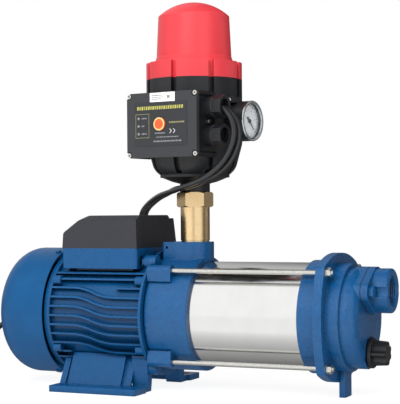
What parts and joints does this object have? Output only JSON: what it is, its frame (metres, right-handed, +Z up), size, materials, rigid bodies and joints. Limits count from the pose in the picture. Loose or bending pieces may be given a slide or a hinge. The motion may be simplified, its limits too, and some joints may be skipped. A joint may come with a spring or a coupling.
{
  "type": "domestic water pump",
  "caption": "Horizontal multistage domestic water pump with a finned electric motor, a stainless sleeve held by tie rods and a pressure controller with a gauge.",
  "frame": {"origin": "centre of the four foot holes, on the plane the feet stand on", "axes": "+X along the shaft from the motor to the suction port, +Z up, the control box faces -Y"},
  "size_m": [0.7551, 0.1998, 0.4622],
  "materials": {
    "blue_casting": "blue enamel over sand casting",
    "blue_housing": "blue enamel over die casting",
    "blue_sheet": "blue enamel on pressed sheet",
    "steel": "machined steel",
    "plated_steel": "bright zinc plate",
    "lamination": "stacked electrical steel",
    "copper_winding": "enamelled copper wire",
    "stainless": "polished stainless steel",
    "brass": "machined brass",
    "ceramic": "ceramic and carbon",
    "hydraulic_plastic": "glass filled plastic",
    "rubber": "moulded rubber",
    "cable_sheath": "flexible black sheath",
    "dark_plastic": "textured black plastic",
    "lid_plastic": "dark grey plastic",
    "red_plastic": "semi-gloss red plastic",
    "panel_film": "printed film",
    "orange_plastic": "moulded orange plastic",
    "lamp_plastic": "clear lamp lens",
    "board": "printed circuit board",
    "white_plastic": "white moulding",
    "chrome": "bright chrome plate",
    "dial_paint": "white painted dial",
    "pointer_paint": "black painted pointer",
    "clear_glass": "clear window",
    "capacitor_can": "plain aluminium can"
  },
  "bodies": {
    "pump": {"motor_housing": "blue_housing", "rear_endshield": "blue_housing", "fan_cover": "blue_sheet", "fan_cover_screws": "plated_steel", "stator_core": "lamination", "stator_windings": "copper_winding", "bearing_outer_rings": "steel", "bearing_balls": "steel", "terminal_lid": "lid_plastic", "terminal_lid_screws": "plated_steel", "terminal_block": "white_plastic", "run_capacitor": "capacitor_can", "motor_lead_gland": "dark_plastic", "discharge_casing": "blue_casting", "casing_bolts": "plated_steel", "seal_seat": "ceramic", "stage_casings": "hydraulic_plastic", "pump_sleeve": "stainless", "sleeve_o_rings": "rubber", "tie_rods": "plated_steel", "tie_rod_nuts": "plated_steel", "status_lamps": "lamp_plastic", "suction_casing": "blue_casting", "port_seal": "rubber", "suction_port": "blue_casting", "port_bolts": "plated_steel", "discharge_nipple": "brass", "controller_body": "dark_plastic", "controller_cap": "red_plastic", "controller_cap_screws": "plated_steel", "diaphragm": "rubber", "pressure_spring": "stainless", "flow_spring": "stainless", "control_box_plate": "dark_plastic", "control_box_screws": "plated_steel", "label_panel": "panel_film", "circuit_board": "board", "cable_glands": "dark_plastic", "gauge_case": "dark_plastic", "gauge_bezel": "chrome", "gauge_dial": "dial_paint", "gauge_lens": "clear_glass", "motor_lead": "cable_sheath", "mains_lead": "cable_sheath", "mains_coil": "cable_sheath", "mains_plug": "rubber"},
    "rotor": {"motor_shaft": "steel", "rotor_core": "lamination", "cooling_fan": "dark_plastic", "bearing_inner_rings": "steel", "seal_head": "stainless", "impellers": "hydraulic_plastic"},
    "drain_slider": {"drain_plug_ring": "rubber"},
    "drain_plug": {"drain_plug": "dark_plastic"},
    "flap": {"suction_flap": "rubber", "flap_weight": "stainless"},
    "button": {"reset_button": "orange_plastic"},
    "pointer": {"gauge_pointer": "pointer_paint"},
    "poppet": {"flow_poppet": "white_plastic"},
    "piston": {"pressure_piston": "white_plastic"}
  },
  "joints": [
    {"name": "rotor_spin", "type": "hinge", "parent": "pump", "child": "rotor", "pos_m": [0, 0, 0.09], "axis": [1, 0, 0], "continuous": true},
    {"name": "drain_travel", "type": "slide", "parent": "pump", "child": "drain_slider", "axis": [1, 0, 0], "range_m": [0, 0.008]},
    {"name": "drain_turn", "type": "hinge", "parent": "drain_slider", "child": "drain_plug", "pos_m": [0.31, 0, 0.0505], "axis": [1, 0, 0], "range_deg": [0, 1920]},
    {"name": "flap_swing", "type": "hinge", "parent": "pump", "child": "flap", "pos_m": [0.3105, 0, 0.1382], "axis": [0, 1, 0], "range_deg": [0, 35]},
    {"name": "button_press", "type": "slide", "parent": "pump", "child": "button", "axis": [0.1564, 0.9877, 0], "range_m": [0, 0.002], "stiffness_N_per_m": 300, "springref_m": -0.001},
    {"name": "pointer_turn", "type": "hinge", "parent": "pump", "child": "pointer", "pos_m": [0.1674, -0.0096, 0.317], "axis": [0.9877, -0.1564, 0], "range_deg": [0, 270]},
    {"name": "poppet_lift", "type": "slide", "parent": "pump", "child": "poppet", "axis": [0, 0, 1], "range_m": [0, 0.01], "stiffness_N_per_m": 60, "springref_m": -0.01, "deforming": ["flow_spring"]},
    {"name": "piston_lift", "type": "slide", "parent": "pump", "child": "piston", "axis": [0, 0, 1], "range_m": [0, 0.006], "stiffness_N_per_m": 3000, "springref_m": -0.006, "deforming": ["pressure_spring"]}
  ],
  "couplings": [
    {"joint": "drain_turn", "follows": "drain_travel", "rad_per_m": 4188.8}
  ]
}
